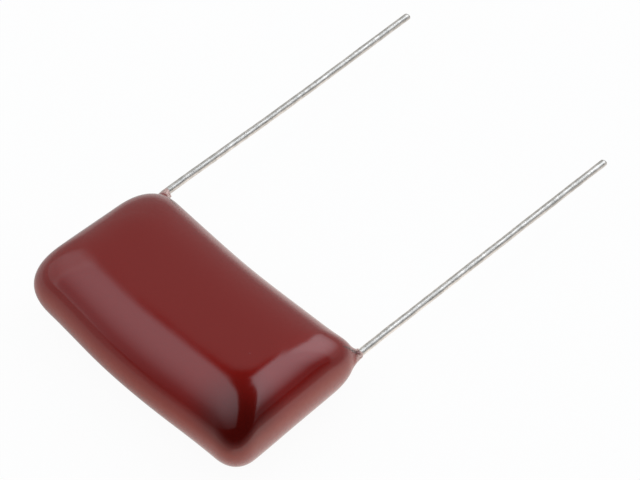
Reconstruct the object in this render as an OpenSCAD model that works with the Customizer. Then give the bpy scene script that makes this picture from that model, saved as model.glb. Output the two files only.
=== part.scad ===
// Dipped film capacitor with two radial wire leads.
// The part lies on one broad face. X runs along the lead spacing, Y is the way the leads point
// and Z goes up through the thickness. The origin is on the flat underside, below the roll's middle.

/* [Film roll] */
// Size of the flattened roll along the leads
roll_h = 14; // [10:0.5:26]
// Thickness of the flattened roll
roll_t = 6; // [4:0.1:12]
// Thickness of the blank turns wrapped around the roll
wrap_t = 0.2; // [0.1:0.05:0.6]
// Thickness of the metal sprayed on each end of the roll
spray_t = 0.5; // [0.2:0.05:1]

/* [Leads] */
// Spacing of the two leads, centre to centre
lead_pitch = 27.5; // [20:0.5:37.5]
// Diameter of the tinned lead
wire_d = 0.8; // [0.5:0.05:1]
// Thickness of the tin on the free lead; inside the resin it thins out to nothing at the welded end
tin_t = 0.02; // [0.01:0.005:0.04]
// Depth to which the wire is pressed into the sprayed metal
wire_seat = 0.15; // [0.08:0.01:0.24]
// Length of wire laid along the end face, from the roll's edge inwards
weld_depth = 11; // [7:0.5:12]
// Straight bare lead beyond the resin
lead_free = 35.5; // [10:0.5:45]
// Bevel where the lead is cut off
tip_bevel = 0.12; // [0.05:0.01:0.2]

/* [Solder] */
// Length of the solder bead on the wire
solder_len = 5; // [3:0.5:6]
// Thickness of the bead around the wire
solder_t = 0.5; // [0.25:0.05:0.6]
// Bare end of the wire past the bead
wire_end_bare = 0.5; // [0.2:0.1:1]

/* [Resin coat] */
// Resin over the roll's broad faces, at the crown
coat_face = 1.35; // [1:0.05:2.5]
// Resin over the roll's rounded long sides
coat_side = 1; // [0.9:0.05:2.5]
// Extra resin along the lead side, over that on the opposite side
coat_lead_side = 1.35; // [0.5:0.05:2]
// Resin over the outer side of each wire
coat_over_wire = 1; // [0.9:0.05:2.5]
// Thinnest resin over the sharp end edges of the roll
coat_edge_min = 0.15; // [0.1:0.05:0.5]
// Corner radius seen from above
corner_r = 2.5; // [1.5:0.1:4]
// Rounding of the ends as a share of the rounding of the long sides
end_share = 0.78; // [0.5:0.02:1]
// Fullness of the broad faces: 2.5 is a soft cushion, 5 is nearly flat
face_power = 3; // [2.5:0.1:5]
// Depth of the hollow between the leads, along the lead side
waist = 0.4; // [0:0.05:0.8]
// Swell of the side opposite the leads
belly = 0.35; // [0:0.05:0.8]
// Height of the resin shoulder that rises at each lead
shoulder_h = 0.3; // [0.1:0.05:2]
// Half-width of that shoulder
shoulder_w = 2; // [1.2:0.1:3]
// Depth by which the underside's crown is flattened where the part rests
seat_flat = 0.15; // [0.05:0.01:0.4]

/* [Resin collar on the leads] */
// Length of the collar that the resin forms on each wire
collar_len = 0.8; // [0.5:0.1:2.5]
// Thickness of the collar at its outer end
collar_tip = 0.08; // [0.04:0.01:0.15]
// Thickness of the collar at its foot
collar_foot = 0.45; // [0.3:0.05:0.6]
// Depth of the collar's foot inside the resin shoulder
collar_sunk = 1; // [0.8:0.05:1.4]

/* [Hidden] */
$fn = 64;

// Steps of the coat's mesh: along each corner, each long side, each end, up and down
CORNER_STEPS = 9;
LONG_STEPS = 18;
SHORT_STEPS = 4;
UPPER_STEPS = 15;
LOWER_STEPS = 11;
// Last ring of the crown, in degrees from the widest level
CROWN_ANGLE = 87;
// Largest corner radius of a ring, as a share of its half height
CROWN_CORNER = 0.85;
PROFILE_STEPS = 10;
// Thickness of the solder bead at its ends, as a share of its full thickness
BEAD_END = 0.3;
EPS = 0.01;

wire_r = wire_d / 2;
core_r = wire_r - tin_t;
lead_x = lead_pitch / 2;
// Outer face of the sprayed metal: the wire is sunk into it by wire_seat
spray_x = lead_x - core_r + wire_seat;
film_w = 2 * (spray_x - spray_t);
stack_h = roll_h + 2 * wrap_t;
stack_t = roll_t + 2 * wrap_t;

// Half sizes of the coat at its widest level
half_w = lead_x + wire_r + coat_over_wire;
half_h = stack_h / 2 + coat_side;
half_t = stack_t / 2 + coat_face;
mid_z = half_t - seat_flat;

// The ends' rounding is held back where it would bare the roll's end edges
edge_level = (stack_t / 2 + coat_edge_min) / half_t;
edge_rho = pow(1 - pow(edge_level, 2), 1 / face_power);
end_limit = (half_w - spray_x - coat_edge_min) / (half_h * (1 - edge_rho));
end_used = min(end_share, end_limit);

// Coat edge where the wire leaves it
corner_run = max(lead_x - (half_w - corner_r), 0);
corner_edge = half_h - corner_r + sqrt(pow(corner_r, 2) - pow(corner_run, 2));
lead_edge = corner_edge * (1 + (coat_lead_side + shoulder_h) / half_h);
collar_end = lead_edge + collar_len;

wire_start = stack_h / 2 - weld_depth;
wire_end = collar_end + lead_free;
bead_mid = wire_start + wire_end_bare + solder_len / 2;

// Swell or hollow of a long side at x: 1 midway between the leads, 0 at the leads and past them
function long_wave(x) = abs(x) < lead_x ? (1 + cos(180 * x / lead_x)) / 2 : 0;

// Resin shoulder at x: 1 at a lead, fading to 0 on both sides of it
function shoulder(x) = exp(-pow((abs(x) - lead_x) / shoulder_w, 2));

// How far the lead side and the side opposite move along Y at x, at the level rho
function lead_side_shift(x, rho) =
    coat_lead_side * rho + shoulder_h * pow(rho, 6) * shoulder(x) - waist * rho * long_wave(x);
function far_side_shift(x, rho) = -belly * rho * long_wave(x);

function arc_points(cx, cy, r, from) =
    [for (i = [0 : CORNER_STEPS]) let (a = from + 90 * i / CORNER_STEPS) [cx + r * cos(a), cy + r * sin(a)]];

// Points between two ends, without the ends
function between(p, q, steps) = [for (i = [1 : steps - 1]) p + (q - p) * i / steps];

// Rounded rectangle of half sizes hx and hy, anticlockwise
function rounded_outline(hx, hy, r) =
    let (cx = hx - r, cy = hy - r)
    concat(
        arc_points(cx, cy, r, 0), between([cx, hy], [-cx, hy], LONG_STEPS),
        arc_points(-cx, cy, r, 90), between([-hx, cy], [-hx, -cy], SHORT_STEPS),
        arc_points(-cx, -cy, r, 180), between([-cx, -hy], [cx, -hy], LONG_STEPS),
        arc_points(cx, -cy, r, 270), between([hx, -cy], [hx, cy], SHORT_STEPS));

// One level of the coat: rho is the share of the half height left there, 1 at the widest level
function coat_ring(rho, z) =
    let (hx = half_w - end_used * (1 - rho) * half_h, hy = rho * half_h)
    [for (p = rounded_outline(hx, hy, min(corner_r, CROWN_CORNER * hy)))
        let (shift = p.y > 0 ? lead_side_shift(p.x, rho) : far_side_shift(p.x, rho))
        [p.x, p.y + shift * abs(p.y) / hy, z]];

// Share of the half height left at an angle above or below the widest level
function rho_at(a) = pow(cos(a), 2 / face_power);

// Rings from the flat underside up to the crown
seat_angle = asin(mid_z / half_t);
ring_angles = concat(
    [for (i = [-LOWER_STEPS : -1]) seat_angle * i / LOWER_STEPS],
    [for (i = [0 : UPPER_STEPS]) CROWN_ANGLE * i / UPPER_STEPS]);

module coat_form() {
    rings = [for (a = ring_angles) coat_ring(rho_at(a), mid_z + half_t * sin(a))];
    n = len(rings[0]);
    top = len(rings) - 1;
    sides = [for (k = [0 : top - 1]) for (j = [0 : n - 1])
        let (a = k * n + j, b = k * n + (j + 1) % n)
        each [[a, a + n, b + n], [a, b + n, b]]];
    // Both caps are fans around a point on the Z axis
    seat_centre = len(rings) * n;
    crown_centre = seat_centre + 1;
    underside = [for (j = [0 : n - 1]) [j, (j + 1) % n, seat_centre]];
    crown = [for (j = [0 : n - 1]) [top * n + (j + 1) % n, top * n + j, crown_centre]];
    polyhedron(
        points = concat([for (r = rings) each r], [[0, 0, rings[0][0].z], [0, 0, rings[top][0].z]]),
        faces = concat(underside, sides, crown),
        convexity = 4);
}

// Puts a child that is drawn up Z onto a lead's centre line, pointing along +Y
module along_lead(side) {
    translate([side * lead_x, 0, mid_z]) rotate([-90, 0, 0]) children();
}

module collar() {
    foot = lead_edge - collar_sunk;
    length = collar_end - foot;
    flank = [for (i = [0 : PROFILE_STEPS])
        let (s = i / PROFILE_STEPS)
        [wire_r + collar_tip + (collar_foot - collar_tip) * pow(1 - s, 3), foot + length * s]];
    rotate_extrude() polygon(concat([[0, foot - corner_r / 2], [flank[0].x, foot - corner_r / 2]], flank,
        [[0, collar_end]]));
}

// Flattened roll: a bar with full-round long sides, lying along X
module roll_bar(h, t, from, to) {
    flat = h / 2 - t / 2;
    translate([from, 0, mid_z]) rotate([90, 0, 90]) linear_extrude(to - from) union() {
        square([2 * flat, t], center = true);
        for (side = [-1, 1]) translate([side * flat, 0]) circle(d = t);
    }
}

// The wire is bare where it is welded, and its tin thickens up to the end of the collar
module wire_form(side) {
    along_lead(side) rotate_extrude() polygon([[0, wire_start], [core_r, wire_start], [wire_r, collar_end],
        [wire_r, wire_end - tip_bevel], [wire_r - tip_bevel, wire_end], [0, wire_end]]);
}

module bead_form(side) {
    flank = [for (i = [0 : PROFILE_STEPS])
        let (s = i / PROFILE_STEPS)
        [core_r + solder_t * (BEAD_END + (1 - BEAD_END) * sin(180 * s)), bead_mid + solder_len * (s - 0.5)]];
    along_lead(side) rotate_extrude()
        polygon(concat([[0, flank[0].y]], flank, [[0, flank[PROFILE_STEPS].y]]));
}

module spray_plate(side) {
    mirror([side < 0 ? 1 : 0, 0, 0]) roll_bar(stack_h, stack_t, spray_x - spray_t, spray_x);
}

module end_spray(side) {
    color("darkgray") difference() {
        spray_plate(side);
        wire_form(side);
    }
}

module solder(side) {
    color("lightgray") difference() {
        bead_form(side);
        wire_form(side);
        roll_bar(stack_h + 2 * half_h, stack_t + 2 * half_t, -spray_x, spray_x);
    }
}

module lead(side) {
    color("silver") wire_form(side);
}

module film_roll() {
    color("whitesmoke") roll_bar(roll_h, roll_t, -film_w / 2, film_w / 2);
}

module outer_wrap() {
    color("wheat") difference() {
        roll_bar(stack_h, stack_t, -film_w / 2, film_w / 2);
        roll_bar(roll_h, roll_t, -film_w / 2 - EPS, film_w / 2 + EPS);
    }
}

module epoxy_coat() {
    color("#7a2a26") difference() {
        union() {
            coat_form();
            for (side = [-1, 1]) along_lead(side) collar();
        }
        roll_bar(stack_h, stack_t, -spray_x, spray_x);
        for (side = [-1, 1]) {
            wire_form(side);
            bead_form(side);
        }
    }
}

epoxy_coat();
film_roll();
outer_wrap();
end_spray(-1);  // end_spray_left
end_spray(1);  // end_spray_right
solder(-1);  // solder_left
solder(1);  // solder_right
lead(-1);  // lead_left
lead(1);  // lead_right
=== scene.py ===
"""Dipped film capacitor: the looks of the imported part. Metres, +Z up, leads along +Y."""
import math

import bpy
import numpy as np
from mathutils import Matrix, Vector, noise


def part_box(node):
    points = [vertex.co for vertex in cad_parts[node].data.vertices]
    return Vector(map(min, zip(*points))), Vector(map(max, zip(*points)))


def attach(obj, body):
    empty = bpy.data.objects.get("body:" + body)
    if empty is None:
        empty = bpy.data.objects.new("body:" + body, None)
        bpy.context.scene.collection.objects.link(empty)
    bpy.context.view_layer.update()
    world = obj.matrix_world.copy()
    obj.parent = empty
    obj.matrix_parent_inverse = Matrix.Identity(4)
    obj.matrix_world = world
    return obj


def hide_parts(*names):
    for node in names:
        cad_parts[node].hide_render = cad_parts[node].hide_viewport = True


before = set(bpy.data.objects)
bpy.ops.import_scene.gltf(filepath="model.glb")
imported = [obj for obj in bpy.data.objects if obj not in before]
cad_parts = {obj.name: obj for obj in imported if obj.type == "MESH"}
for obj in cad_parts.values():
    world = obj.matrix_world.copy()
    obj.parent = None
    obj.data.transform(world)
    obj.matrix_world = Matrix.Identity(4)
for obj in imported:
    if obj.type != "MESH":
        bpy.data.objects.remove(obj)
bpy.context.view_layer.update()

MM = 0.001

# ---------------------------------------------------------------- sizes taken from the frame
COAT_LOW, COAT_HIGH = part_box("epoxy_coat")
LEAD_LOW, LEAD_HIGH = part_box("lead_right")

LEAD_X = (LEAD_LOW.x + LEAD_HIGH.x) / 2
WIRE_R = (LEAD_HIGH.x - LEAD_LOW.x) / 2
WIRE_START = LEAD_LOW.y
WIRE_END = LEAD_HIGH.y
MID_Z = (LEAD_LOW.z + LEAD_HIGH.z) / 2
COLLAR_END = COAT_HIGH.y
HALF_W = COAT_HIGH.x
HALF_T = COAT_HIGH.z - MID_Z

# ---------------------------------------------------------------- form of the resin coat
SIDE_INSET = 0.40 * MM          # from the CAD coat's far edge in to the straight outline of the body
HALF_H = -COAT_LOW.y - SIDE_INSET
# corners seen from above, anticlockwise from the right lead's; those of the left end are rounder
CORNERS = (2.9 * MM, 4.0 * MM, 4.1 * MM, 2.9 * MM)
CORNER_POWER = 2.5              # 2 is a circle's arc; more eases the arc into the straight sides
CROWN_CORNER = 0.85             # largest corner of a ring, as a share of its half height
END_SHARE = 0.78                # rounding of the ends as a share of the long sides'
FACE_POWER = 3.0                # fullness of the broad faces
LEAD_SIDE = 1.28 * MM           # extra resin along the lead side
BELLY = 0.60 * MM               # swell of the side opposite the leads
FAR_SKEW = 0.10 * MM            # that side runs out a little towards the left end
TAPER = 0.17 * MM               # the ends run in a little towards the lead side
BODY_SHIFT = -0.17 * MM         # the body sits a little off the middle of the leads
WAIST = 0.43 * MM               # hollow between the leads
SHOULDER_H = (0.10 * MM, 0.30 * MM)        # rise of the resin at the left and at the right lead
SHOULDER_W = 2.0 * MM           # how far it spreads along the coat
SHOULDER_POWER = 6              # more keeps it nearer to the widest level
SWELL = 0.05 * MM               # slow unevenness of the dipped surface
SWELL_SIZE = 7.0 * MM
SWELL_MEAN = 0.15               # taken off, so that the surface goes in as well as out
SWELL_PLACE = (3.1, 7.7, 1.3)   # which stretch of the noise is used
SWELL_FOOT = 0.3 * MM           # the lowest part stays plain, so that the part rests flat
SWELL_FADE = 1.5 * MM           # height in which the unevenness comes in
COLUMN_STEP = 0.24 * MM         # spacing of the coat's mesh
FINE_STEP = 0.10 * MM           # spacing near the leads
FINE_REACH = 2.0 * MM
CROWN_RHO = 0.02                # where the last ring closes on the ridge of the crown
SEAT_RINGS = 15                 # rings of the flat underside
SEAT_SLIT = 0.04                # size of the last of them, as a share of the first
SLOPE_STEP = 0.02 * MM          # small steps along and up the coat, which give its direction
SLOPE_ANGLE = 0.004
OUTLINE_SAMPLES = 20001
LEVEL_SAMPLES = 4001

# ---------------------------------------------------------------- resin climbing the leads
FOOT_R = 1.45 * MM              # radius of the foot of the collar on the coat
FOOT_BLOCK = 1.4 * MM           # half size of the block of faces that the collar replaces
FOOT_EASE = 2.0                 # the mesh is back to normal at this many block sizes
FOOT_WINDOW = 3                 # block sizes within which points may move
FOOT_INNER = 0.92               # where the coat's slope at the foot is read, as a share of its radius
COLLAR_TIP = 0.12 * MM          # resin round the wire at the collar's blunt end
COLLAR_ROWS = 22
COLLAR_PULL = (1.2, 0.6)        # how strongly the collar follows the coat's slope and the wire
COLLAR_SHORT = 0.34             # mm by which the resin ends short of the CAD collar
COLLAR_SIDE = 0.13              # mm more than that at the right lead, and less at the left one
COLLAR_WAVES = (0.10, 0.06)     # mm of unevenness of that edge, once and three times round the wire
# rounded lip of the collar: share of its resin left, and mm past its edge. It ends inside the wire
COLLAR_LIPS = ((0.93, 0.04), (0.78, 0.075), (0.55, 0.10), (0.28, 0.125), (0.05, 0.16), (-0.4, 0.15))
TIP_LEAN = 0.4                  # the collar's end follows this much of the wire's lean
LIP_LEAN = 0.12                 # and each ring of the lip this much more
# how far each lead leans across by the time it leaves the coat
ROOT_SHIFT = {-1: -0.33 * MM, 1: 0.04 * MM}
# thin lines of painted shade by each lead, where creases would be shaded: start and end in mm, and the way
# the coat faces there
CREASE_SHADES = (((-12.6, 8.87, 6.37), (-10.0, 8.17, 7.17), (0.05, 0.74, 0.67)),
           ((13.9, 9.6, 4.9), (13.2, 7.9, 7.1), (0.45, 0.62, 0.64)))
CREASE_W = 0.25 * MM            # half width at its start
CREASE_TIP = 0.3                # what is left of that at its end
CREASE_FADES = (0.3 * MM, 0.6 * MM)        # how softly it starts and ends


def smooth(t):
    """Smoothstep of an array or a number, clamped to 0..1."""
    t = np.clip(t, 0.0, 1.0)
    return t * t * (3 - 2 * t)


# ---------------------------------------------------------------- the coat's surface, as formulas

class CoatForm:
    """The dipped body: a point for each place along its outline and each level."""

    def __init__(self):
        r = CORNERS
        arcs = [c * math.pi / 2 for c in r]
        right, left = 2 * HALF_H - r[0] - r[3], 2 * HALF_H - r[1] - r[2]
        lead_side, far_side = 2 * HALF_W - r[0] - r[1], 2 * HALF_W - r[2] - r[3]
        # segments of the outline, anticlockwise from the middle of the +X end
        self.lengths = [HALF_H - r[0], arcs[0], lead_side, arcs[1], left,
                        arcs[2], far_side, arcs[3], right - (HALF_H - r[0])]
        self.starts = np.concatenate([[0], np.cumsum(self.lengths)])
        self.total = self.starts[-1]

    def outline(self, s, hx, hy):
        """Points of the rounded rectangle of half sizes hx and hy, at distances s along the outline."""
        s = np.mod(s, self.total)
        r = [np.minimum(c, CROWN_CORNER * hy) for c in CORNERS]
        x, y = np.zeros_like(s * hx), np.zeros_like(s * hx)
        power = 2 / CORNER_POWER

        def arc(k, corner, sx, sy, along_x):
            t = np.clip((s - self.starts[k]) / self.lengths[k], 0, 1) * math.pi / 2
            if along_x:
                t = math.pi / 2 - t
            c, d = np.cos(t).clip(0) ** power, np.sin(t).clip(0) ** power
            return sx * (hx - r[corner] * (1 - c)), sy * (hy - r[corner] * (1 - d))

        def line(k, p, q):
            t = (s - self.starts[k]) / self.lengths[k]
            return p[0] + (q[0] - p[0]) * t, p[1] + (q[1] - p[1]) * t

        zero = 0 * hy
        parts = [
            line(0, (hx, zero), (hx, hy - r[0])),
            arc(1, 0, 1, 1, False),
            line(2, (hx - r[0], hy), (r[1] - hx, hy)),
            arc(3, 1, -1, 1, True),
            line(4, (-hx, hy - r[1]), (-hx, r[2] - hy)),
            arc(5, 2, -1, -1, False),
            line(6, (r[2] - hx, -hy), (hx - r[3], -hy)),
            arc(7, 3, 1, -1, True),
            line(8, (hx, r[3] - hy), (hx, zero))]
        for k, (px, py) in enumerate(parts):
            here = (s >= self.starts[k]) & (s <= self.starts[k + 1])
            x, y = np.where(here, px, x), np.where(here, py, y)
        return x, y

    def base(self, s, angle):
        """Surface points for arrays of places s and level angles (0 at the widest level)."""
        rho = np.cos(angle).clip(1e-9) ** (2 / FACE_POWER)
        return self.at_share(s, rho, MID_Z + HALF_T * np.sin(angle))

    def at_share(self, s, rho, z):
        """Surface points at height z, where the outline has shrunk to the share rho of its half height."""
        hx, hy = HALF_W - END_SHARE * (1 - rho) * HALF_H, rho * HALF_H
        x, y = self.outline(s, hx, hy)
        wave = np.where(abs(x) < LEAD_X, (1 + np.cos(math.pi * x / LEAD_X)) / 2, 0)
        rise = np.exp(-((abs(x) - LEAD_X) / SHOULDER_W) ** 2)
        taper = TAPER * rho * y / hy * x / hx
        shoulder = np.where(x < 0, *SHOULDER_H) * rho ** SHOULDER_POWER * rise
        lead_side = (LEAD_SIDE - WAIST * wave) * rho + shoulder
        far_side = (FAR_SKEW * x / HALF_W - BELLY * wave) * rho
        y = y + np.where(y > 0, lead_side, far_side) * abs(y) / hy
        return np.stack([x - taper + BODY_SHIFT, y, z + 0 * x], axis=-1)

    def point(self, s, angle):
        """Surface points with the slow unevenness of a dipped coat."""
        p = self.base(s, angle)
        along = self.base(s + SLOPE_STEP, angle) - self.base(s - SLOPE_STEP, angle)
        up = self.base(s, angle + SLOPE_ANGLE) - self.base(s, angle - SLOPE_ANGLE)
        n = np.cross(along, up)
        n /= np.linalg.norm(n, axis=-1, keepdims=True) + 1e-15
        return p + n * self.swell(p)[..., None]

    @staticmethod
    def swell(p):
        """Height of the slow unevenness at each point."""
        flat = p.reshape(-1, 3)
        off = Vector(SWELL_PLACE)
        raw = np.array([noise.noise(Vector(q) / SWELL_SIZE + off) for q in flat])
        lift = smooth((flat[:, 2] - SWELL_FOOT) / SWELL_FADE)
        return (SWELL * (raw - SWELL_MEAN) * lift).reshape(p.shape[:-1])


def place_of_lead(form, side):
    """Distance along the outline at which the lead's centre line pierces the coat."""
    s = np.linspace(0, form.total / 2, OUTLINE_SAMPLES)
    x = form.base(s, 0 * s)[:, 0]
    return float(s[np.argmin(abs(x - side * LEAD_X))])


def graded(start, end, centres, coarse, fine, reach):
    """Stations from start to end, closer together near the centres. Each centre is midway between two."""
    stops = [start]
    for c in sorted(centres):
        stops += [c - reach, c + reach]
    stops.append(end)
    out = []
    for k in range(len(stops) - 1):
        a, b = stops[k], stops[k + 1]
        near = k % 2 == 1
        n = max(2, round((b - a) / (fine if near else coarse)))
        n += n % 2
        out.append(np.linspace(a, b, n, endpoint=False))
    return np.concatenate(out)


def foot_warp(u, v, block):
    """Moves mesh points near a lead so that the square block of faces there becomes a round hole."""
    m = np.maximum(abs(u), abs(v)) / block
    h = np.hypot(u, v).clip(1e-12)
    w = 1 - smooth((m - 1) / (FOOT_EASE - 1))
    k = (FOOT_R * m / h) * w + (1 - w)
    return np.where(m < 1e-6, u, u * k), np.where(m < 1e-6, v, v * k)


def coat_mesh():
    """Vertices and faces of the whole coat: body, collars on the leads, flat underside."""
    form = CoatForm()
    leads = [place_of_lead(form, side) for side in (1, -1)]
    columns = graded(0, form.total, leads, COLUMN_STEP, FINE_STEP, FINE_REACH)
    # levels at even distances along the cross-section
    seat = math.asin(MID_Z / HALF_T)
    crown = math.acos(CROWN_RHO ** (FACE_POWER / 2))
    levels = np.linspace(-seat, crown, LEVEL_SAMPLES)
    inward = np.diff(HALF_H * np.cos(levels).clip(1e-9) ** (2 / FACE_POWER))
    upward = np.diff(HALF_T * np.sin(levels))
    run = np.concatenate([[0], np.cumsum(np.hypot(inward, upward))])
    middle = float(np.interp(0, levels, run))
    rows = graded(0, run[-1], [middle], COLUMN_STEP, FINE_STEP, FINE_REACH)
    rows = np.append(rows, run[-1])
    angles = np.interp(rows, run, levels)

    s_grid, a_grid = np.meshgrid(columns, angles)
    v_grid = np.meshgrid(columns, rows - middle)[1]
    block_c = round(FOOT_BLOCK / FINE_STEP) * FINE_STEP
    for lead in leads:
        u = s_grid - lead
        near = (abs(u) < FOOT_WINDOW * FOOT_BLOCK) & (abs(v_grid) < FOOT_WINDOW * FOOT_BLOCK)
        du, dv = foot_warp(u[near], v_grid[near], block_c)
        s_grid[near] = lead + du
        a_grid[near] = np.interp(middle + dv, run, levels)
    body = form.point(s_grid, a_grid)
    body[0, :, 2] = 0
    n_rows, n_cols = body.shape[:2]
    verts = [body.reshape(-1, 3)]
    faces = []

    def vid(j, i):
        """Number of the vertex at row j and column i."""
        return j * n_cols + i % n_cols

    # faces under the two collars are left out, and the loop round each hole is kept
    mid_row = int(np.argmin(abs(rows - middle)))
    half = round(FOOT_BLOCK / FINE_STEP)
    holes = [int(np.argmin(abs(columns - lead))) for lead in leads]

    def in_hole(j, i):
        return any(mid_row - half <= j < mid_row + half and h - half <= i < h + half for h in holes)

    for j in range(n_rows - 1):
        for i in range(n_cols):
            if not in_hole(j, i):
                faces.append((vid(j, i), vid(j, i + 1), vid(j + 1, i + 1), vid(j + 1, i)))

    # crown: the last ring is a narrow slit, closed by joining its two long sides
    faces += slit_cap(body[-1], (n_rows - 1) * n_cols, up=True)
    count = n_rows * n_cols
    # underside: rings at z = 0 shrink to a slit
    seat_rho = math.cos(seat) ** (2 / FACE_POWER)
    last_start = 0
    for rho in seat_rho * np.linspace(1, SEAT_SLIT, SEAT_RINGS + 1)[1:]:
        ring = form.at_share(columns, rho + 0 * columns, 0.0)
        verts.append(ring)
        for i in range(n_cols):
            k = (i + 1) % n_cols
            faces.append((last_start + k, last_start + i, count + i, count + k))
        last_start, count = count, count + n_cols
    faces += slit_cap(verts[-1], last_start, up=False)

    for lead, h, side in zip(leads, holes, (1, -1)):
        loop = ([(mid_row - half, h - half + i) for i in range(2 * half)]
                + [(mid_row - half + j, h + half) for j in range(2 * half)]
                + [(mid_row + half, h + half - i) for i in range(2 * half)]
                + [(mid_row + half - j, h - half) for j in range(2 * half)])
        ids = [vid(j, i) for j, i in loop]
        rim = np.array([body.reshape(-1, 3)[q] for q in ids])
        # the same loop a little further in on the bare coat, row by row and column by column
        inner = [foot_inner(form, lead, columns[i % n_cols] - lead, rows[j] - middle,
                            lambda v: np.interp(middle + v, run, levels)) for j, i in loop]
        previous = ids
        for ring in collar_rings(rim, np.array(inner), side):
            verts.append(ring)
            now = list(range(count, count + len(ring)))
            for i in range(len(ring)):
                k = (i + 1) % len(ring)
                faces.append((previous[i], previous[k], now[k], now[i]))
            previous, count = now, count + len(ring)
        faces.append(tuple(previous))
    return np.concatenate(verts), faces


def foot_inner(form, lead, u, v, level):
    """Point of the bare coat just inside the collar's foot, which gives the collar its starting slope."""
    k = FOOT_INNER * FOOT_R / math.hypot(u, v)
    return form.point(np.array([lead + u * k]), level(np.array([v * k])))[0]


def collar_rings(rim, inner, side):
    """Rings of the resin that climbs the wire, from the rim of the hole to the wire's surface."""
    axis = np.array([side * LEAD_X, 0.0, MID_Z])
    slope = inner - rim
    slope /= np.linalg.norm(slope, axis=1, keepdims=True)
    radial = rim - axis
    radial[:, 1] = 0
    radial /= np.linalg.norm(radial, axis=1, keepdims=True)
    angle = np.arctan2(radial[:, 2], radial[:, 0])
    # an uneven edge: the resin climbs further on one side of the wire
    once, thrice = COLLAR_WAVES
    short = (COLLAR_SHORT + COLLAR_SIDE * side + once * np.cos(angle - 0.7)
             + thrice * np.cos(3 * angle + side))
    edge = COLLAR_END - short * MM
    # the wire leans inside the collar, so the collar's blunt end follows it part of the way
    lean = np.array([ROOT_SHIFT[side], 0.0, 0.0])
    tip = axis + TIP_LEAN * lean + radial * (WIRE_R + COLLAR_TIP)
    tip[:, 1] = edge
    rise = np.linalg.norm(tip - rim, axis=1, keepdims=True)
    up = np.array([0.0, 1.0, 0.0])
    pull_coat, pull_wire = COLLAR_PULL
    rings = []
    for k in range(1, COLLAR_ROWS + 1):
        t = k / COLLAR_ROWS
        h00, h10 = 2 * t**3 - 3 * t**2 + 1, t**3 - 2 * t**2 + t
        h01, h11 = -2 * t**3 + 3 * t**2, t**3 - t**2
        rings.append(h00 * rim + h10 * pull_coat * rise * slope + h01 * tip + h11 * pull_wire * rise * up)
    for k, (share, out) in enumerate(COLLAR_LIPS):
        lip = axis + lean * (TIP_LEAN + LIP_LEAN * k) + radial * (WIRE_R + share * COLLAR_TIP)
        lip[:, 1] = edge + out * MM
        rings.append(lip)
    return rings


def slit_cap(ring, first, up):
    """Faces that close a long narrow ring by joining the points of its +Y side to those of its -Y side."""
    n = len(ring)
    right, left = int(np.argmax(ring[:, 0])), int(np.argmin(ring[:, 0]))
    a = [(right + k) % n for k in range((left - right) % n + 1)]
    b = [(right - k) % n for k in range((right - left) % n + 1)]
    faces, i, j = [], 0, 0
    while i < len(a) - 1 or j < len(b) - 1:
        step_a = i < len(a) - 1 and (j == len(b) - 1 or ring[a[i + 1], 0] >= ring[b[j + 1], 0])
        if step_a:
            tri = (a[i], a[i + 1], b[j])
            i += 1
        else:
            tri = (a[i], b[j + 1], b[j])
            j += 1
        if len(set(tri)) == 3:
            faces.append(tuple(first + q for q in (tri if up else tri[::-1])))
    return faces


def add_mesh(name, verts, faces, material):
    """A smooth-shaded mesh object with one material."""
    mesh = bpy.data.meshes.new(name)
    mesh.from_pydata([tuple(v) for v in verts], [], faces)
    mesh.validate()
    mesh.shade_smooth()
    mesh.materials.append(material)
    piece = bpy.data.objects.new(name, mesh)
    bpy.context.collection.objects.link(piece)
    return piece


# ---------------------------------------------------------------- node helpers

def new_material(name):
    """A material with an empty node tree, its tree and its output node."""
    m = bpy.data.materials.new(name)
    m.use_nodes = True
    m.node_tree.nodes.clear()
    out = m.node_tree.nodes.new("ShaderNodeOutputMaterial")
    return m, m.node_tree, out


def node(tree, kind, **settings):
    """A new node with these settings."""
    n = tree.nodes.new(kind)
    for key, value in settings.items():
        setattr(n, key, value)
    return n


def link(tree, a, b):
    tree.links.new(a, b)


def coordinates(tree):
    """Places in metres, in the frame of the part."""
    return node(tree, "ShaderNodeTexCoord").outputs["Object"]


def noise_value(tree, where, scale, detail=3.0, roughness=0.5):
    n = node(tree, "ShaderNodeTexNoise")
    n.inputs["Scale"].default_value = scale
    n.inputs["Detail"].default_value = detail
    n.inputs["Roughness"].default_value = roughness
    link(tree, where, n.inputs["Vector"])
    return n.outputs["Fac"]


def map_range(tree, value, low, high, to_low, to_high):
    """Eases from to_low, where the value is low, to to_high, where it is high."""
    n = node(tree, "ShaderNodeMapRange", interpolation_type="SMOOTHSTEP")
    for key, number in (("From Min", low), ("From Max", high), ("To Min", to_low), ("To Max", to_high)):
        n.inputs[key].default_value = number
    link(tree, value, n.inputs["Value"])
    return n.outputs["Result"]


def math_node(tree, operation, a, b=0):
    """One step of arithmetic on sockets or numbers."""
    n = node(tree, "ShaderNodeMath", operation=operation)
    for socket, value in zip(n.inputs, (a, b)):
        if isinstance(value, (int, float)):
            socket.default_value = value
        else:
            link(tree, value, socket)
    return n.outputs[0]


def product(tree, a, b):
    return math_node(tree, "MULTIPLY", a, b)


def dot_product(tree, vector, direction):
    """How far a vector reaches along a fixed direction."""
    n = node(tree, "ShaderNodeVectorMath", operation="DOT_PRODUCT")
    n.inputs[1].default_value = Vector(direction).normalized()
    link(tree, vector, n.inputs[0])
    return n.outputs["Value"]


def mix_number(tree, factor, a, b):
    n = node(tree, "ShaderNodeMix", data_type="FLOAT")
    for socket, value in zip((n.inputs["Factor"], n.inputs["A"], n.inputs["B"]), (factor, a, b)):
        if isinstance(value, (int, float)):
            socket.default_value = value
        else:
            link(tree, value, socket)
    return n.outputs["Result"]


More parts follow.
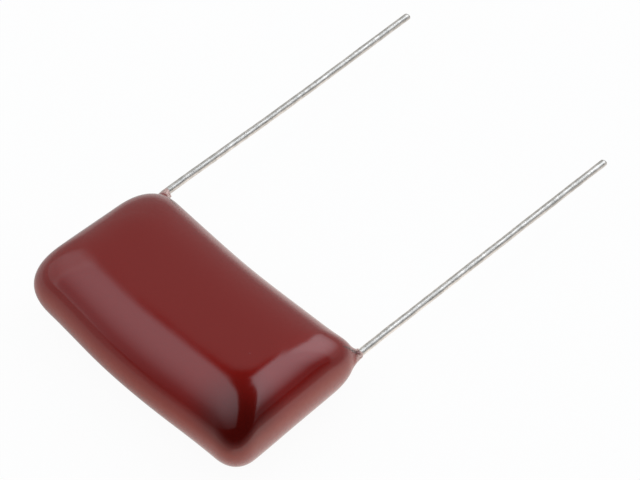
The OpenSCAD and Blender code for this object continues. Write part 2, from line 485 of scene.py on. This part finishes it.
def mix_colour(tree, factor, a, b):
    """From colour a at factor 0 to colour b at factor 1."""
    n = node(tree, "ShaderNodeMix", data_type="RGBA")
    link(tree, factor, n.inputs["Factor"])
    # the names A and B are shared by sockets of other kinds: 6, 7 and 2 are the colours
    for socket, value in ((n.inputs[6], a), (n.inputs[7], b)):
        if isinstance(value, tuple):
            socket.default_value = (*value, 1.0)
        else:
            link(tree, value, socket)
    return n.outputs[2]


def bump(tree, height, distance, base=None):
    n = node(tree, "ShaderNodeBump")
    n.inputs["Distance"].default_value = distance
    n.inputs["Strength"].default_value = 1.0
    link(tree, height, n.inputs["Height"])
    if base is not None:
        link(tree, base, n.inputs["Normal"])
    return n.outputs["Normal"]


def principled(tree, out, **values):
    n = node(tree, "ShaderNodeBsdfPrincipled")
    for key, value in values.items():
        n.inputs[key.replace("_", " ")].default_value = value
    link(tree, n.outputs["BSDF"], out.inputs["Surface"])
    return n


# ---------------------------------------------------------------- materials

RESIN_THIN = (0.180, 0.0040, 0.0022)     # over the film roll, where light comes back through the resin
RESIN_CORNER_SHADE = (0.050, 0.0020, 0.0010)     # painted shade at one corner of the top, at the +X end away from the leads
RESIN_SIDE_SHEEN = (0.36, 0.045, 0.010)        # painted sheen on the upright sides, paler and warmer than the resin
RESIN_CREASE_SHADE = (0.030, 0.010, 0.007)     # painted shade in creases by the leads
RESIN_FILM = (0.72, 0.55, 0.49)          # where a thin film of it ends on the wire
RESIN_SPECK = (0.22, 0.10, 0.07)         # specks in that film
RESIN_SHEEN = (1.0, 0.02, 0.01, 1.0)     # what the pigment throws back under the clear skin

SHADE_CORNER = (12.9 * MM, -5.8 * MM, 7.4 * MM)
SHADE_REACH = (2.0 * MM, 7.0 * MM)       # full painted shade to here, and none left there
SHADE_CLOUD = 1.5 * MM                   # unevenness of that border
FILM_REACH = (0.25 * MM, 0.48 * MM)      # from the wire's surface: all film to here, and none left there
FILM_RAGGED = 0.25 * MM
UPRIGHT = (0.15, 0.65)                   # how far a face may tilt up or down and still take the painted sheen of the sides
SIDE_SHEEN_SHARE = 0.55                        # share of the painted sheen there
PEEL_DEPTH = 0.012 * MM
GRAIN_DEPTH = 0.0008 * MM
RESIN_ROUGHNESS = (0.46, 0.54)           # least and most, from the dust in it
SPECK_BORDER = (0.34, 0.46)              # noise levels between which a speck fades into the film

# scales of the noises: more is finer
CLOUD_SCALE = 160.0
PEEL_SCALE = 420.0
DUST_SCALE = 2600.0
GRAIN_SCALE = 3200.0
SPECK_SCALE = 5200.0
PATCH_SCALE = 1300.0                     # dull patches, lumps and drawn streaks of tinned metal
LUMP_SCALE = 2200.0
STREAK_SCALE = 9000.0
STREAK_STRETCH = 0.06                    # the streaks' scale along Y, as a share of that across


def crease_shade_mask(tree, where, start, end, facing):
    """1 on a line of painted shade across the coat between two places, fading to 0 beside it and narrowing to
    its end.

    It isn't limited in depth: it marks the coat wherever a slab through the line, along the way the coat
    faces there, cuts it. So it marks the underside too, which rests on the floor.
    """
    a, b = Vector(start) * MM, Vector(end) * MM
    off = node(tree, "ShaderNodeVectorMath", operation="SUBTRACT")
    off.inputs[1].default_value = a
    link(tree, where, off.inputs[0])
    ahead, length = (b - a).normalized(), (b - a).length
    aside = ahead.cross(Vector(facing)).normalized()
    along = dot_product(tree, off.outputs[0], ahead)
    beside = math_node(tree, "ABSOLUTE", dot_product(tree, off.outputs[0], aside))
    width = map_range(tree, along, 0.0, length, CREASE_W, CREASE_TIP * CREASE_W)
    line = map_range(tree, math_node(tree, "DIVIDE", beside, width), 0.5, 1.4, 0.9, 0.0)
    start_fade = map_range(tree, along, -CREASE_FADES[0], 0.0, 0.0, 1.0)
    end_fade = map_range(tree, along, length - CREASE_FADES[1], length, 1.0, 0.0)
    return product(tree, line, product(tree, start_fade, end_fade))


def corner_shade_mask(tree, where):
    """1 at the corner painted with shade, to 0 some millimetres from it."""
    shade_distance = node(tree, "ShaderNodeVectorMath", operation="DISTANCE")
    shade_distance.inputs[1].default_value = SHADE_CORNER
    link(tree, where, shade_distance.inputs[0])
    cloud = noise_value(tree, where, CLOUD_SCALE, 4.0)
    away = math_node(tree, "ADD", shade_distance.outputs["Value"], product(tree, cloud, SHADE_CLOUD))
    return map_range(tree, away, *SHADE_REACH, 1.0, 0.0)


def film_mask(tree, where, speck):
    """1 where the resin on the wires is so thin that the tin shows through, with a ragged border."""
    split = node(tree, "ShaderNodeSeparateXYZ")
    link(tree, where, split.inputs[0])
    across = math_node(tree, "SUBTRACT", math_node(tree, "ABSOLUTE", split.outputs["X"]), LEAD_X)
    up = math_node(tree, "SUBTRACT", split.outputs["Z"], MID_Z)
    squares = math_node(tree, "ADD", product(tree, across, across), math_node(tree, "POWER", up, 2))
    reach = math_node(tree, "POWER", squares, 0.5)
    ragged = math_node(tree, "ADD", reach, product(tree, speck, FILM_RAGGED))
    near = map_range(tree, ragged, WIRE_R + FILM_REACH[0], WIRE_R + FILM_REACH[1], 1.0, 0.0)
    return product(tree, near, map_range(tree, split.outputs["Y"], HALF_H, HALF_H + MM, 0.0, 1.0))


def resin_material():
    """Glossy red-brown epoxy, with painted shade at one corner and by the leads, painted sheen on its upright
    sides, a faint orange peel and fine dust.
    """
    m, tree, out = new_material("epoxy_resin")
    where = coordinates(tree)
    # pigment in the resin throws back a wide red sheen, under a clear glossy skin
    shader = principled(tree, out, IOR=1.8, Specular_Tint=RESIN_SHEEN, Coat_Weight=1.0,
                        Coat_IOR=1.6, Coat_Roughness=0.10)

    # painted shade: the resin is painted darker round one corner of the top
    colour = mix_colour(tree, corner_shade_mask(tree, where), RESIN_THIN, RESIN_CORNER_SHADE)
    speck = noise_value(tree, where, SPECK_SCALE, 3.0, 0.6)
    film = film_mask(tree, where, speck)
    tip = mix_colour(tree, map_range(tree, speck, *SPECK_BORDER, 1.0, 0.0), RESIN_FILM, RESIN_SPECK)
    colour = mix_colour(tree, film, colour, tip)
    # painted sheen: the upright sides are painted paler and warmer, in place of the light the coat's rims
    # catch at grazing angles
    upright = dot_product(tree, node(tree, "ShaderNodeNewGeometry").outputs["Normal"], (0, 0, 1))
    thin = map_range(tree, math_node(tree, "ABSOLUTE", upright), *UPRIGHT, SIDE_SHEEN_SHARE, 0.0)
    thin = product(tree, thin, math_node(tree, "SUBTRACT", 1.0, film))
    colour = mix_colour(tree, thin, colour, RESIN_SIDE_SHEEN)
    # painted shade: dark lines along creases by the leads
    for crease_shade in CREASE_SHADES:
        colour = mix_colour(tree, crease_shade_mask(tree, where, *crease_shade), colour, RESIN_CREASE_SHADE)
    link(tree, colour, shader.inputs["Base Color"])

    dust = noise_value(tree, where, DUST_SCALE, 2.0)
    link(tree, map_range(tree, dust, 0.35, 0.75, *RESIN_ROUGHNESS), shader.inputs["Roughness"])
    peel = noise_value(tree, where, PEEL_SCALE, 2.0)
    grain = noise_value(tree, where, GRAIN_SCALE, 2.0)
    normal = bump(tree, grain, GRAIN_DEPTH, base=bump(tree, peel, PEEL_DEPTH))
    link(tree, normal, shader.inputs["Normal"])
    link(tree, normal, shader.inputs["Coat Normal"])
    return m


def metal_material(name, colour, dark, roughness, streak_bump, lump_bump):
    """Worn tinned metal: fine streaks along Y, small lumps and dull patches."""
    m, tree, out = new_material(name)
    where = coordinates(tree)
    shader = principled(tree, out, Metallic=1.0)
    stretch = node(tree, "ShaderNodeMapping")
    stretch.inputs["Scale"].default_value = (1.0, STREAK_STRETCH, 1.0)
    link(tree, where, stretch.inputs["Vector"])
    streaks = noise_value(tree, stretch.outputs[0], STREAK_SCALE, 3.0)
    patches = noise_value(tree, where, PATCH_SCALE, 4.0, 0.6)
    tone = map_range(tree, patches, 0.35, 0.7, 0.0, 1.0)
    link(tree, mix_colour(tree, tone, dark, colour), shader.inputs["Base Color"])
    link(tree, map_range(tree, streaks, 0.3, 0.7, roughness - 0.06, roughness + 0.1),
         shader.inputs["Roughness"])
    normal = bump(tree, streaks, streak_bump)
    lumps = noise_value(tree, where, LUMP_SCALE, 3.0, 0.6)
    link(tree, bump(tree, lumps, lump_bump, base=normal), shader.inputs["Normal"])
    return m


def grainy_material(name, light, dark, scale, roughness, depth, stretch=(1, 1, 1), metallic=0.0):
    """Matte surface whose tone and height follow one noise."""
    m, tree, out = new_material(name)
    where = node(tree, "ShaderNodeMapping")
    where.inputs["Scale"].default_value = stretch
    link(tree, coordinates(tree), where.inputs["Vector"])
    shader = principled(tree, out, Metallic=metallic)
    grain = noise_value(tree, where.outputs[0], scale, 4.0, 0.6)
    link(tree, mix_colour(tree, grain, dark, light), shader.inputs["Base Color"])
    link(tree, map_range(tree, grain, 0.3, 0.7, roughness - 0.1, roughness + 0.1), shader.inputs["Roughness"])
    link(tree, bump(tree, grain, depth), shader.inputs["Normal"])
    return m


# ---------------------------------------------------------------- leads

WIRE_SIDES = 40
WIRE_STEP = 0.16 * MM
LUMP = 0.014 * MM               # unevenness of the tin
LUMP_SIZES = (0.55 * MM, 2.4 * MM)         # length of its small and of its long lumps
CUT = 0.32 * MM                 # length of the end that the side cutters pressed together
CUT_PINCH = 0.22                # how much narrower it is at the end
CUT_SLOPE = 0.12 * MM           # how far the cut slopes across the wire
# the cut face: rings at these shares of its width, and how far the ridge left by the jaws stands out there
CUT_RINGS = ((0.8, 0.03 * MM), (0.35, 0.07 * MM))
CUT_TURN = 0.9                  # which way round the jaws met the wire, in radians
EASE = 1.3                      # how the lean grows along the lead: more keeps its root straighter
# how far each lead's tip stands from its CAD axis: across, up, and how much shorter it is
TIP_SHIFT = {-1: (-0.41 * MM, 0.22 * MM, 0.16 * MM), 1: (0.27 * MM, -0.47 * MM, 0.0)}
BEND = {-1: 0.11 * MM, 1: 0.03 * MM}       # how far the middle of each lead bends across


def lead_mesh(side):
    """A hand-straightened wire: slightly splayed, uneven tin, and an end nipped by side cutters."""
    across, up, short = TIP_SHIFT[side]
    end = WIRE_END - short
    n = round((end - WIRE_START) / WIRE_STEP)
    verts, faces = [], []
    for k in range(n + 1):
        y = WIRE_START + (end - WIRE_START) * k / n
        t = max(0.0, (y - COLLAR_END) / (end - COLLAR_END))
        lean = ROOT_SHIFT[side] * float(smooth((y - 0.75 * COLLAR_END) / (0.2 * COLLAR_END)))
        bend = BEND[side] * math.sin(math.pi * t) ** 2
        cx = side * LEAD_X + lean + (across - ROOT_SHIFT[side]) * t ** EASE + bend
        cz = MID_Z + up * t ** EASE
        pinch = max(0.0, 1 - (end - y) / CUT)
        free = min(1.0, t * 30)     # the wire is smooth inside the coat
        for q in range(WIRE_SIDES):
            a = 2 * math.pi * q / WIRE_SIDES
            ca, sa = math.cos(a), math.sin(a)
            probe = Vector((ca * 0.9, y / LUMP_SIZES[0], sa * 0.9 + 20 * side))
            slow = Vector((ca * 0.6, y / LUMP_SIZES[1], sa * 0.6 - 9 * side))
            r = WIRE_R - LUMP + free * LUMP * (0.9 * noise.noise(probe) + 1.3 * noise.noise(slow))
            squeeze = 1 - CUT_PINCH * pinch * abs(math.cos(a - CUT_TURN))
            slope = CUT_SLOPE * math.cos(a - 0.4) * pinch
            verts.append((cx + r * squeeze * ca, y + slope - CUT_SLOPE * pinch, cz + r * squeeze * sa))
    for k in range(n):
        for q in range(WIRE_SIDES):
            a, b = k * WIRE_SIDES + q, k * WIRE_SIDES + (q + 1) % WIRE_SIDES
            faces.append((a, a + WIRE_SIDES, b + WIRE_SIDES, b))
    faces.append(tuple(range(WIRE_SIDES)))
    # the cut face, with a ridge left where the jaws met
    last = n * WIRE_SIDES
    centre = np.mean(verts[last:], axis=0)
    previous = last
    for share, out in CUT_RINGS:
        ring = []
        for q in range(WIRE_SIDES):
            ridge = out * (1 - abs(math.sin(2 * math.pi * q / WIRE_SIDES - CUT_TURN)))
            spoke = share * (np.array(verts[last + q]) - centre)
            ring.append(tuple(centre + spoke + np.array([0, ridge, 0])))
        start = len(verts)
        verts += ring
        for q in range(WIRE_SIDES):
            k = (q + 1) % WIRE_SIDES
            faces.append((previous + q, start + q, start + k, previous + k))
        previous = start
    faces.append(tuple(range(len(verts) - 1, len(verts) - WIRE_SIDES - 1, -1)))
    return verts, faces


# ---------------------------------------------------------------- studio

FLOOR_R = 3.0
FLOOR_SIDES = 96
FLOOR_DROP = 0.02 * MM          # below the part's flat underside, so that the two don't share one plane
FLOOR_SEEN, FLOOR_MIRRORED = 0.95, 0.75    # share of plain white in the floor, to the eye and in reflections
PAPER = (0.92, 0.92, 0.92)
# painted light: in reflections the floor glows white on the lit side behind the part, and duller on the
# shaded side in front
FLOOR_TINT = (1.0, 0.94, 0.90)
LIT_WAY = (0.75, 0.66, 0)       # the way from the shaded side to the lit one
LIT_REACH = (-12 * MM, 10 * MM)
LIT_LEVELS = (0.52, 1.05)
FAR_REACH = (22 * MM, 75 * MM)  # along Y it grows dim again
FAR_LEVEL = 0.42


def floor_piece():
    """A pale disc that looks white, and keeps the part's soft shadow."""
    m, tree, out = new_material("pale_floor")
    rays = node(tree, "ShaderNodeLightPath")
    mirrored = math_node(tree, "MAXIMUM", rays.outputs["Is Glossy Ray"], rays.outputs["Is Transmission Ray"])
    seen = math_node(tree, "MAXIMUM", product(tree, rays.outputs["Is Camera Ray"], FLOOR_SEEN),
                     product(tree, mirrored, FLOOR_MIRRORED))
    where = coordinates(tree)
    # painted light: the glow that reflections see is brighter on the lit side and dims far along Y
    lit = map_range(tree, dot_product(tree, where, LIT_WAY), *LIT_REACH, *LIT_LEVELS)
    far = map_range(tree, dot_product(tree, where, (0, 1, 0)), *FAR_REACH, 1.0, FAR_LEVEL)
    lit = product(tree, lit, far)
    glow = node(tree, "ShaderNodeEmission")
    white = mix_colour(tree, rays.outputs["Is Camera Ray"], FLOOR_TINT, (1.0, 1.0, 1.0))
    link(tree, white, glow.inputs["Color"])
    link(tree, mix_number(tree, rays.outputs["Is Camera Ray"], lit, 1.0), glow.inputs["Strength"])
    paper = node(tree, "ShaderNodeBsdfDiffuse")
    paper.inputs["Color"].default_value = (*PAPER, 1)
    mix = node(tree, "ShaderNodeMixShader")
    link(tree, seen, mix.inputs[0])
    link(tree, paper.outputs[0], mix.inputs[1])
    link(tree, glow.outputs[0], mix.inputs[2])
    link(tree, mix.outputs[0], out.inputs["Surface"])
    turns = [2 * math.pi * k / FLOOR_SIDES for k in range(FLOOR_SIDES)]
    verts = [(FLOOR_R * math.cos(a), FLOOR_R * math.sin(a), -FLOOR_DROP) for a in turns]
    return add_mesh("floor", verts, [tuple(range(FLOOR_SIDES))], m)


LAMP_HEIGHT = 0.55
SLANT_EDGE = 0.12               # softness of a slanted edge
BOW_EDGE = (0.06, 0.4)          # softness of a bowed edge, at its middle and far from it


def softbox(name, corner, along, across, length, width, radiance, tint, along_fade, across_fade,
            bow=0.0, middle=0.0, tail=None, slant=None):
    """Flat lamp overhead. Sizes and places are on a plane at height 1, and the lamp is put at LAMP_HEIGHT.

    Each fade is (from, to, level): the distance where it starts, where it ends, and what is left there.
    A tail is one more fade along the lamp. A slant is (distance along, distance across, slope): the lamp
    starts that far along, and beyond that distance across its edge slopes back.
    The lamp's first long edge curves in by bow times the square of the distance from its middle.
    """
    lamp = bpy.data.lights.new(name, "AREA")
    lamp.shape = "RECTANGLE"
    lamp.size, lamp.size_y = length * LAMP_HEIGHT, width * LAMP_HEIGHT
    lamp.energy = radiance * math.pi * lamp.size * lamp.size_y
    lamp.color = tint
    lamp.use_nodes = True
    tree = lamp.node_tree
    place = node(tree, "ShaderNodeNewGeometry")
    split = node(tree, "ShaderNodeSeparateXYZ")
    link(tree, place.outputs["Parametric"], split.inputs[0])
    u = product(tree, split.outputs["X"], length)
    v = product(tree, split.outputs["Y"], width)

    def fade(value, start, end, left):
        return map_range(tree, value, start, end, 1.0, left)

    level = product(tree, fade(u, *along_fade), fade(v, *across_fade))
    if tail:
        level = product(tree, level, fade(u, *tail))
    if slant:
        start, turn, slope = slant
        back = math_node(tree, "MAXIMUM", math_node(tree, "SUBTRACT", v, turn), 0.0)
        edge = math_node(tree, "SUBTRACT", start, product(tree, back, slope))
        inside = math_node(tree, "SUBTRACT", u, edge)
        level = product(tree, level, map_range(tree, inside, 0.0, SLANT_EDGE, 0.0, 1.0))
    if bow:
        off = math_node(tree, "SUBTRACT", u, middle)
        edge = product(tree, product(tree, off, off), bow)
        soft = map_range(tree, u, middle, 2 * middle, *BOW_EDGE)
        inside = math_node(tree, "DIVIDE", math_node(tree, "SUBTRACT", v, edge), soft)
        level = product(tree, level, map_range(tree, inside, 0.0, 1.0, 0.0, 1.0))
    link(tree, level, tree.nodes["Emission"].inputs["Strength"])
    obj = bpy.data.objects.new(name, lamp)
    bpy.context.collection.objects.link(obj)
    x_axis, outward = Vector((*along, 0)).normalized(), Vector((*across, 0)).normalized()
    centre = Vector((*corner, 0)) + x_axis * length / 2 + outward * width / 2
    z_axis = Vector((0, 0, 1))
    turn = Matrix((x_axis, z_axis.cross(x_axis), z_axis)).transposed().to_4x4()
    obj.matrix_world = Matrix.Translation(Vector((centre.x, centre.y, 1)) * LAMP_HEIGHT) @ turn


ROOM_LIGHT = 0.5                # plain light from all round
# the room in reflections: dark overhead and towards the near right, paler behind and to the left
ROOM_DARK_WAY = (0.50, -0.45, 0.74)
ROOM_BORDER = (0.27, 0.36)
ROOM_LEVELS = (0.50, 0.015)
# and pale along the horizon
HORIZON_HEIGHTS = (-0.05, 0.45)
HORIZON_WAY = (0.42, 0.91, 0)
HORIZON_LEVELS = (0.45, 0.42)   # away from that way and towards it


def studio():
    """The room's own light, what it looks like in reflections, and two lamps."""
    world = bpy.data.worlds.new("studio")
    bpy.context.scene.world = world
    world.use_nodes = True
    tree = world.node_tree
    tree.nodes.clear()
    out = node(tree, "ShaderNodeOutputWorld")
    sky = node(tree, "ShaderNodeTexCoord").outputs["Generated"]
    room = map_range(tree, dot_product(tree, sky, ROOM_DARK_WAY), *ROOM_BORDER, *ROOM_LEVELS)
    height = node(tree, "ShaderNodeSeparateXYZ")
    link(tree, sky, height.inputs[0])
    low = map_range(tree, height.outputs["Z"], *HORIZON_HEIGHTS, 1.0, 0.0)
    horizon = map_range(tree, dot_product(tree, sky, HORIZON_WAY), 0.5, 0.95, *HORIZON_LEVELS)
    rays = node(tree, "ShaderNodeLightPath")
    level = mix_number(tree, rays.outputs["Is Glossy Ray"], ROOM_LIGHT, mix_number(tree, low, room, horizon))
    level = mix_number(tree, rays.outputs["Is Camera Ray"], level, 1.0)
    back = node(tree, "ShaderNodeBackground")
    link(tree, level, back.inputs["Strength"])
    link(tree, back.outputs[0], out.inputs["Surface"])

    softbox("softbox_front", corner=(0.564, -0.369), along=(-0.845, 0.535), across=(-0.535, -0.845),
            length=4.2, width=3.2, radiance=1.34, tint=(0.82, 0.92, 1.0),
            along_fade=(1.0, 0.0, 0.15), across_fade=(0.3, 1.6, 0.4),
            bow=0.26, middle=0.85, tail=(1.12, 1.5, 0.55))
    softbox("softbox_right", corner=(-1.01, 0.214), along=(0.99, 0.12), across=(-0.12, 0.99),
            length=3.2, width=4.0, radiance=1.98, tint=(0.84, 0.91, 1.0),
            along_fade=(1.1, 2.4, 0.10), across_fade=(0.3, 3.6, 0.3), slant=(0.78, 0.7, 0.26))


VIEW_AZIMUTH, VIEW_ELEVATION, VIEW_ROLL = 43.746, 51.468, 1.917     # degrees
VIEW_TARGET = (1.521 * MM, 16.629 * MM, 5.0 * MM)
VIEW_DISTANCE = 233.084 * MM
LENS, SENSOR = 131.06, 36.0


def camera():
    """The camera, placed round the part by its angles, its distance and what it looks at."""
    az, el, roll = (math.radians(a) for a in (VIEW_AZIMUTH, VIEW_ELEVATION, VIEW_ROLL))
    cam = bpy.data.cameras.new("camera")
    cam.sensor_width = SENSOR
    cam.lens = LENS
    cam.clip_start, cam.clip_end = 0.01, 20.0
    obj = bpy.data.objects.new("camera", cam)
    bpy.context.collection.objects.link(obj)
    back = Vector((math.sin(az) * math.cos(el), -math.cos(az) * math.cos(el), math.sin(el)))
    right = (-back).cross(Vector((0, 0, 1))).normalized()
    up = right.cross(-back)
    right, up = (right * math.cos(roll) + up * math.sin(roll),
                 up * math.cos(roll) - right * math.sin(roll))
    turn = Matrix((right, up, back)).transposed().to_4x4()
    obj.matrix_world = Matrix.Translation(Vector(VIEW_TARGET) + back * VIEW_DISTANCE) @ turn
    bpy.context.scene.camera = obj


# ---------------------------------------------------------------- assembly

camera()
studio()
floor_piece()

resin = resin_material()
tin = metal_material("tinned_wire", colour=(0.97, 0.92, 0.86), dark=(0.72, 0.69, 0.64), roughness=0.42,
                     streak_bump=0.002 * MM, lump_bump=0.007 * MM)
solder = metal_material("solder_satin", colour=(0.66, 0.66, 0.66), dark=(0.42, 0.42, 0.42), roughness=0.4,
                        streak_bump=0.004 * MM, lump_bump=0.03 * MM)
film = grainy_material("wound_film", light=(0.70, 0.71, 0.73), dark=(0.52, 0.53, 0.55), scale=700.0,
                       roughness=0.4, depth=0.01 * MM, stretch=(0.02, 1, 1), metallic=0.3)
wrap = grainy_material("blank_film_turns", light=(0.80, 0.74, 0.58), dark=(0.66, 0.60, 0.45), scale=500.0,
                       roughness=0.45, depth=0.01 * MM, stretch=(0.05, 1, 1))
spray = grainy_material("sprayed_zinc", light=(0.55, 0.55, 0.56), dark=(0.32, 0.32, 0.33), scale=6000.0,
                        roughness=0.75, depth=0.05 * MM, metallic=0.8)

for name, material in (("film_roll", film), ("outer_wrap", wrap), ("end_spray_left", spray),
                       ("end_spray_right", spray), ("solder_left", solder), ("solder_right", solder)):
    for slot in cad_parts[name].material_slots:
        slot.material = material

coat = add_mesh("dipped_coat", *coat_mesh(), resin)
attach(coat, "root")
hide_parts("epoxy_coat")

for side, word in ((-1, "left"), (1, "right")):
    wire = add_mesh("wire_" + word, *lead_mesh(side), tin)
    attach(wire, "root")
    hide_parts("lead_" + word)

bpy.context.scene.view_settings.view_transform = "Standard"
